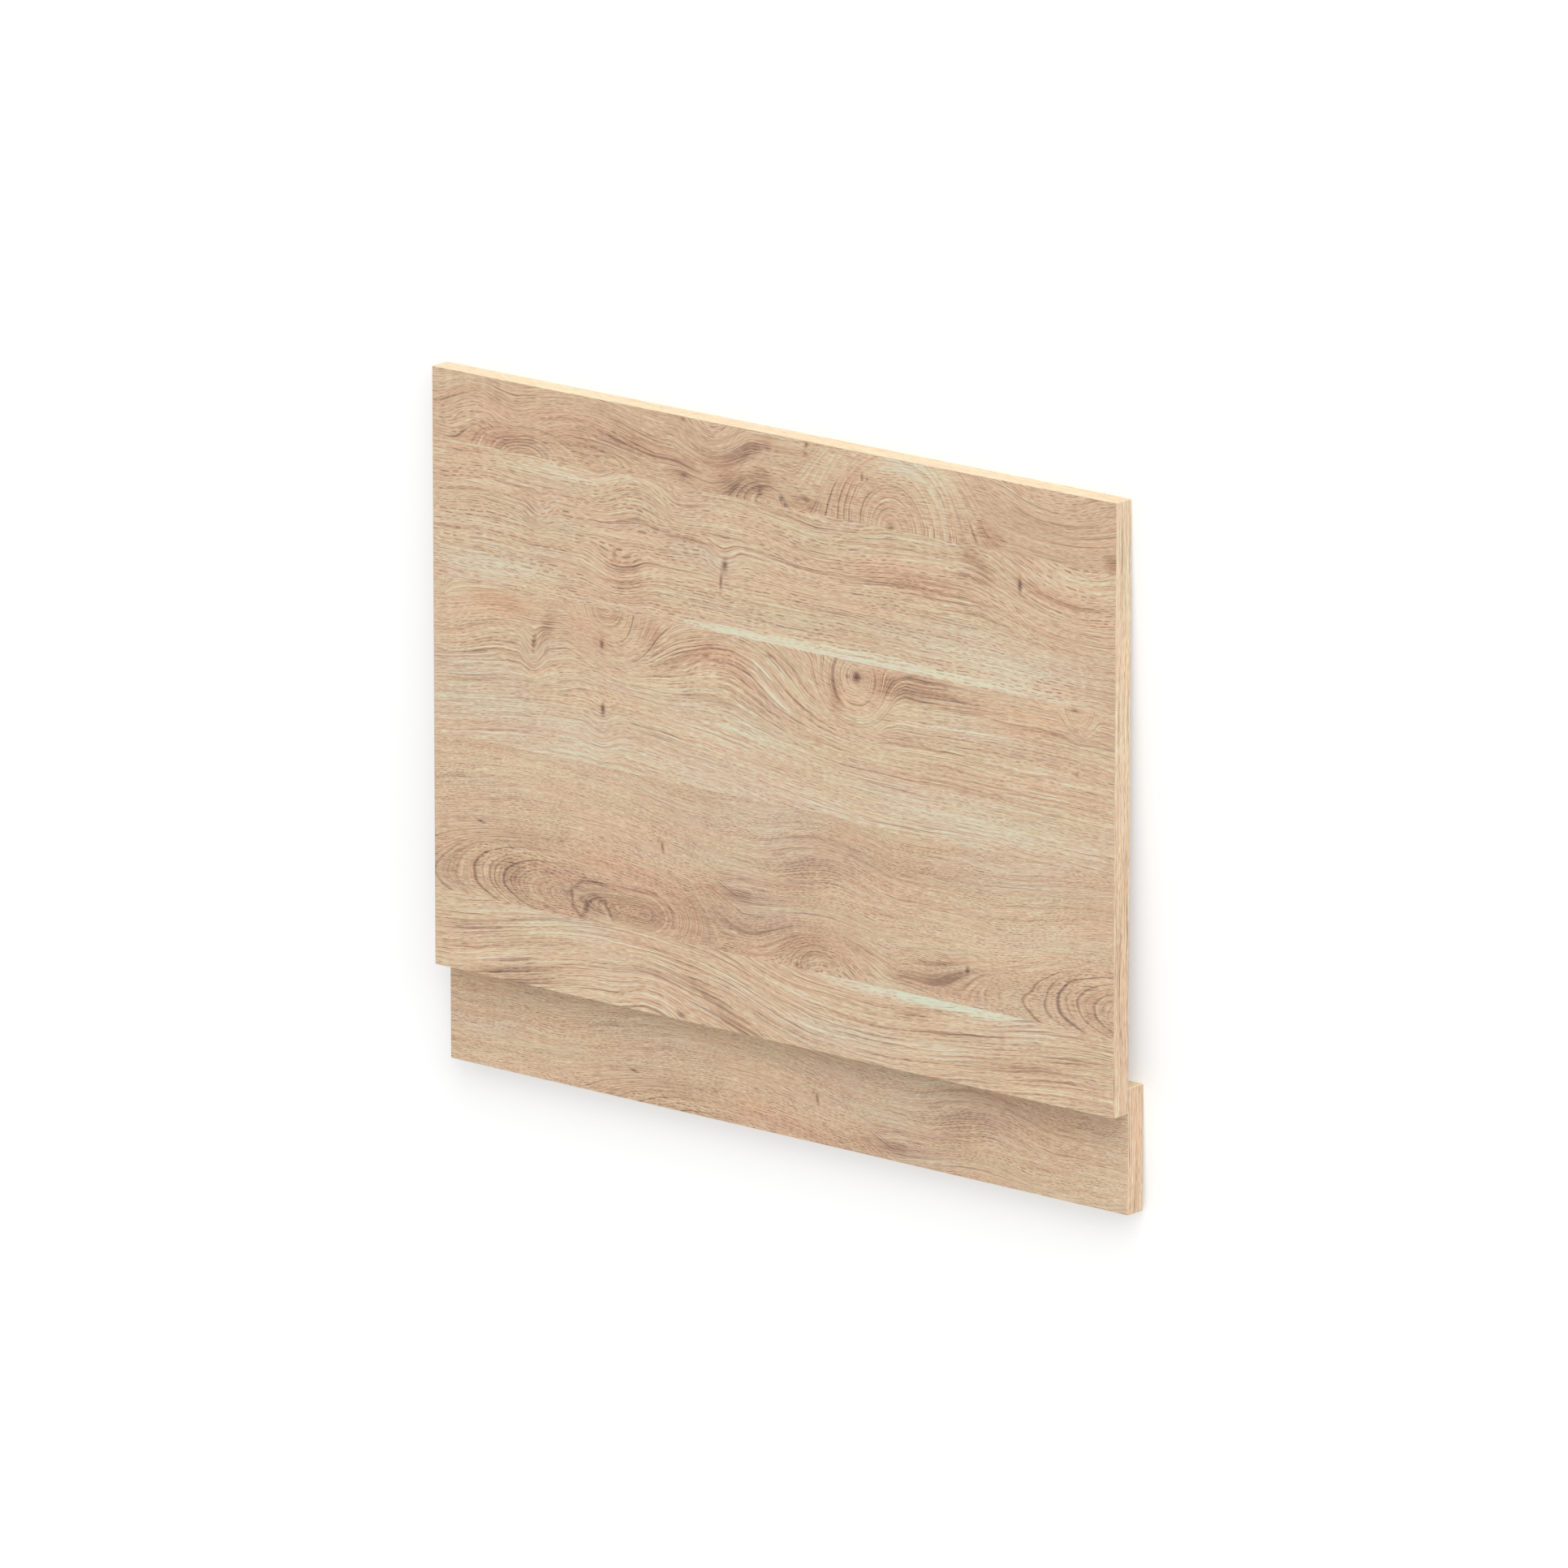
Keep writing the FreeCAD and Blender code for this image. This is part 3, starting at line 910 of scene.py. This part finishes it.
def seen_directly(tree):
    """1 for rays from the camera, straight or through gloss and glass, else 0."""
    path = add_node(tree, "ShaderNodeLightPath")
    rays = [Signal(path.outputs[f"Is {kind} Ray"]) for kind in ("Camera", "Glossy", "Transmission")]
    return rays[0].math("MAXIMUM", rays[1]).math("MAXIMUM", rays[2])


def white_surroundings():
    """Even light from all round, seen as white."""
    world = bpy.data.worlds.new("surroundings")
    bpy.context.scene.world = world
    world.use_nodes = True
    background = world.node_tree.nodes["Background"]
    background.inputs["Color"].default_value = (1, 1, 1, 1)
    feed(background.inputs["Strength"], choose(seen_directly(world.node_tree), SKY_LIGHT, 1.0))


def soft_lamp():
    """One broad lamp from beyond the panel's top edge, a little to the right."""
    lamp = bpy.data.lights.new("soft_lamp", "SUN")
    lamp.energy = LAMP_LIGHT * math.pi
    lamp.angle = LAMP_SPREAD
    holder = bpy.data.objects.new("soft_lamp", lamp)
    bpy.context.scene.collection.objects.link(holder)
    holder.rotation_mode = "QUATERNION"
    holder.rotation_quaternion = LAMP_FROM.to_track_quat("Z", "Y")


def white_floor():
    """A level white floor that glows a little to the eye, so that only shade on it shows."""
    half = FLOOR_SIZE / 2
    corners = [(-half, -half, 0), (half, -half, 0), (half, half, 0), (-half, half, 0)]
    mesh = bpy.data.meshes.new("floor")
    mesh.from_pydata(corners, [], [(0, 1, 2, 3)])
    floor = bpy.data.objects.new("floor", mesh)
    bpy.context.scene.collection.objects.link(floor)
    material = bpy.data.materials.new("white_floor")
    material.use_nodes = True
    shader = material.node_tree.nodes["Principled BSDF"]
    shader.inputs["Base Color"].default_value = (FLOOR_WHITE, FLOOR_WHITE, FLOOR_WHITE, 1)
    shader.inputs["Roughness"].default_value = 1
    shader.inputs["Specular IOR Level"].default_value = 0
    shader.inputs["Emission Color"].default_value = (1, 1, 1, 1)
    feed(shader.inputs["Emission Strength"], seen_directly(material.node_tree) * FLOOR_GLOW)
    mesh.materials.append(material)


def photo_camera():
    """A long lens in front of the panel's face, to its right and above."""
    data = bpy.data.cameras.new("camera")
    data.sensor_fit = "HORIZONTAL"
    data.angle = CAMERA_FIELD
    data.clip_end = CAMERA_SIGHT
    camera = bpy.data.objects.new("camera", data)
    bpy.context.scene.collection.objects.link(camera)
    level = math.cos(CAMERA_RISE)
    back = (
        RIGHT * math.sin(CAMERA_TURN) * level
        + UP * math.sin(CAMERA_RISE)
        + OUT * math.cos(CAMERA_TURN) * level
    )
    right = UP.cross(back).normalized()
    up = back.cross(right)
    camera.matrix_world = Matrix((right, up, back)).transposed().to_4x4()
    camera.location = from_board_mm(*CAMERA_AIM, WHOLE_DEPTH) + back * CAMERA_DISTANCE * MM
    bpy.context.scene.camera = camera


panel_oak = oak_print("panel_oak", PANEL_PRINT)
plinth_oak = moved_print(panel_oak, "plinth_oak", PLINTH_PRINT)
for node, material in (("panel", panel_oak), ("plinth", plinth_oak)):
    for slot in frame["nodes"][node].material_slots:
        slot.material = material

white_surroundings()
soft_lamp()
white_floor()
photo_camera()
bpy.context.scene.view_settings.view_transform = "Standard"
